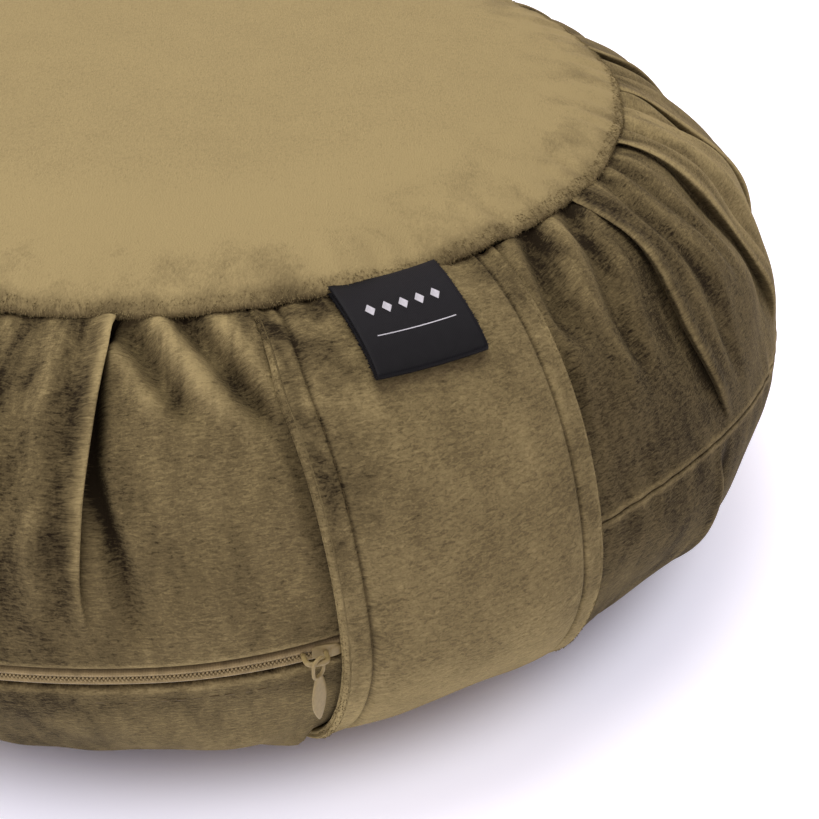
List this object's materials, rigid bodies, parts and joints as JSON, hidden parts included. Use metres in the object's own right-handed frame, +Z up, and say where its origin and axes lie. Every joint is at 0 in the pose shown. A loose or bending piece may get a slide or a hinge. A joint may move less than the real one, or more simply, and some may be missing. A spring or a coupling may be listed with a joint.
{
  "type": "zafu meditation cushion",
  "caption": "Round, firmly filled velour zafu with a low crown, pleated sides, a wide carrying handle, a folded label and a zip along its side seam.",
  "frame": {"origin": "centre of the flat round base, on the surface that the cushion stands on", "axes": "+Z up through the middle of the cushion; the middle of the handle is 62 degrees clockwise from +X seen from above, and the picture looks along +Y and down"},
  "size_m": [0.3646, 0.3645, 0.1324],
  "materials": {
    "velour": "short-pile cotton velour, olive brown",
    "label_weave": "black woven satin",
    "zip_coil": "nylon coil on a woven tape, dyed to match the cloth",
    "zip_metal": "enamelled zinc, olive"
  },
  "bodies": {
    "root": {"filled_side_wall": "velour", "top_panel": "velour", "bottom_panel": "velour", "handle_strap": "velour", "label": "label_weave", "zip_tape": "zip_coil", "zip_slider": "zip_metal", "zip_pull": "zip_metal"}
  },
  "joints": []
}
